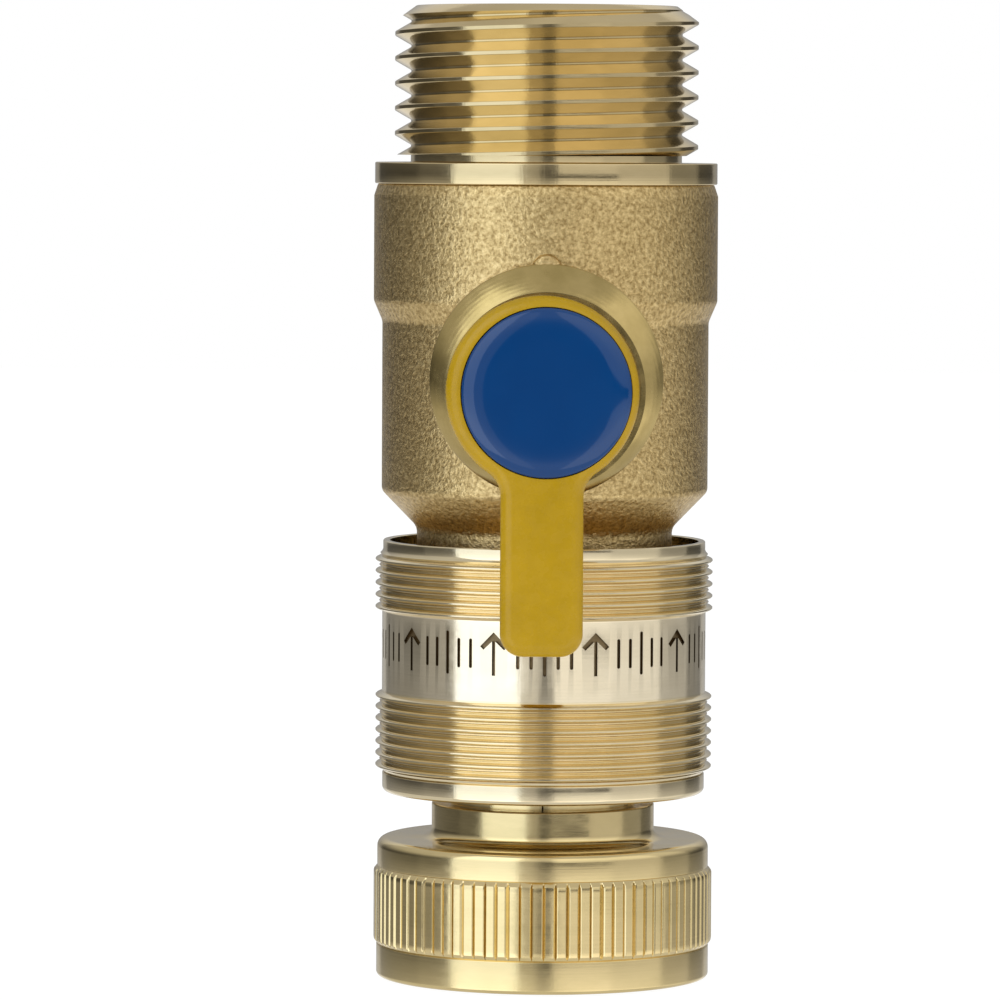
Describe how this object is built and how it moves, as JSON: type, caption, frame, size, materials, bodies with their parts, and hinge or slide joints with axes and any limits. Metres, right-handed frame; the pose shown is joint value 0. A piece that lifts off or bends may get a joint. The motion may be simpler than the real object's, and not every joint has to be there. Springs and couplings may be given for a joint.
{
  "type": "hose quick connector with ball valve",
  "caption": "Brass garden hose quick connector with a quarter-turn lever valve, ribbed release sleeve, male hose thread and a plug with a knurled hose nut.",
  "frame": {"origin": "centre of the open face of the hose nut, which is the lowest face", "axes": "+Z along the flow axis towards the male hose thread; the lever and its cap face -Y; +X is to the right seen from the lever's side"},
  "size_m": [0.0306, 0.0369, 0.0865],
  "materials": {
    "cast_brass": "shot-blasted casting, fine sparkling grain",
    "turned_brass": "bright turned, fine circumferential tool marks",
    "sleeve_brass": "bright turned with ribs, pale polished band",
    "plug_brass": "bright turned with a straight knurl",
    "yellow_coating": "thick smooth yellow plastic coating, semi-gloss",
    "blue_plastic": "glossy moulded cap",
    "black_rubber": "moulded seal",
    "white_ptfe": "waxy white seal plastic",
    "chrome_ball": "mirror plated",
    "steel": "bright stainless"
  },
  "bodies": {
    "valve": {"valve_body": "cast_brass", "hose_tailpiece": "turned_brass", "tailpiece_o_ring": "black_rubber", "ball_seat_upper": "white_ptfe", "ball_seat_lower": "white_ptfe", "stem_thrust_washer": "white_ptfe", "socket_core": "turned_brass", "socket_seal": "black_rubber", "sleeve_retaining_ring": "steel", "sleeve_spring": "steel"},
    "lever_group": {"lever": "yellow_coating", "lever_cap": "blue_plastic", "lever_screw": "steel", "lever_spring_washer": "steel", "valve_stem": "turned_brass", "stem_o_ring_1": "black_rubber", "stem_o_ring_2": "black_rubber"},
    "ball": {"valve_ball": "chrome_ball"},
    "sleeve": {"release_sleeve": "sleeve_brass"},
    "plug": {"plug_adapter": "plug_brass", "hose_washer": "black_rubber"},
    "lock_ball_1": {"locking_ball_1": "steel"},
    "lock_ball_2": {"locking_ball_2": "steel"},
    "lock_ball_3": {"locking_ball_3": "steel"},
    "lock_ball_4": {"locking_ball_4": "steel"},
    "lock_ball_5": {"locking_ball_5": "steel"},
    "lock_ball_6": {"locking_ball_6": "steel"}
  },
  "joints": [
    {"name": "lever_turn", "type": "hinge", "parent": "valve", "child": "lever_group", "pos_m": [0, -0.0155, 0.0529], "axis": [0, 1, 0], "range_deg": [0, 90]},
    {"name": "ball_turn", "type": "hinge", "parent": "valve", "child": "ball", "pos_m": [0, 0, 0.0529], "axis": [0, 1, 0], "range_deg": [0, 90]},
    {"name": "sleeve_pull", "type": "slide", "parent": "valve", "child": "sleeve", "axis": [0, 0, 1], "range_m": [0, 0.0032], "stiffness_N_per_m": 1500, "springref_m": -0.004, "deforming": ["sleeve_spring"]},
    {"name": "plug_swivel", "type": "hinge", "parent": "valve", "child": "plug", "pos_m": [0, 0, 0.025], "axis": [0, 0, 1], "continuous": true},
    {"name": "lock_ball_1_out", "type": "slide", "parent": "valve", "child": "lock_ball_1", "axis": [1, 0, 0], "range_m": [0, 0.0009]},
    {"name": "lock_ball_2_out", "type": "slide", "parent": "valve", "child": "lock_ball_2", "axis": [0.5, 0.866, 0], "range_m": [0, 0.0009]},
    {"name": "lock_ball_3_out", "type": "slide", "parent": "valve", "child": "lock_ball_3", "axis": [-0.5, 0.866, 0], "range_m": [0, 0.0009]},
    {"name": "lock_ball_4_out", "type": "slide", "parent": "valve", "child": "lock_ball_4", "axis": [-1, 0, 0], "range_m": [0, 0.0009]},
    {"name": "lock_ball_5_out", "type": "slide", "parent": "valve", "child": "lock_ball_5", "axis": [-0.5, -0.866, 0], "range_m": [0, 0.0009]},
    {"name": "lock_ball_6_out", "type": "slide", "parent": "valve", "child": "lock_ball_6", "axis": [0.5, -0.866, 0], "range_m": [0, 0.0009]}
  ],
  "couplings": [
    {"joint": "ball_turn", "follows": "lever_turn", "ratio": 1},
    {"joint": "lock_ball_1_out", "follows": "sleeve_pull", "ratio": 0.28125},
    {"joint": "lock_ball_2_out", "follows": "sleeve_pull", "ratio": 0.28125},
    {"joint": "lock_ball_3_out", "follows": "sleeve_pull", "ratio": 0.28125},
    {"joint": "lock_ball_4_out", "follows": "sleeve_pull", "ratio": 0.28125},
    {"joint": "lock_ball_5_out", "follows": "sleeve_pull", "ratio": 0.28125},
    {"joint": "lock_ball_6_out", "follows": "sleeve_pull", "ratio": 0.28125}
  ]
}
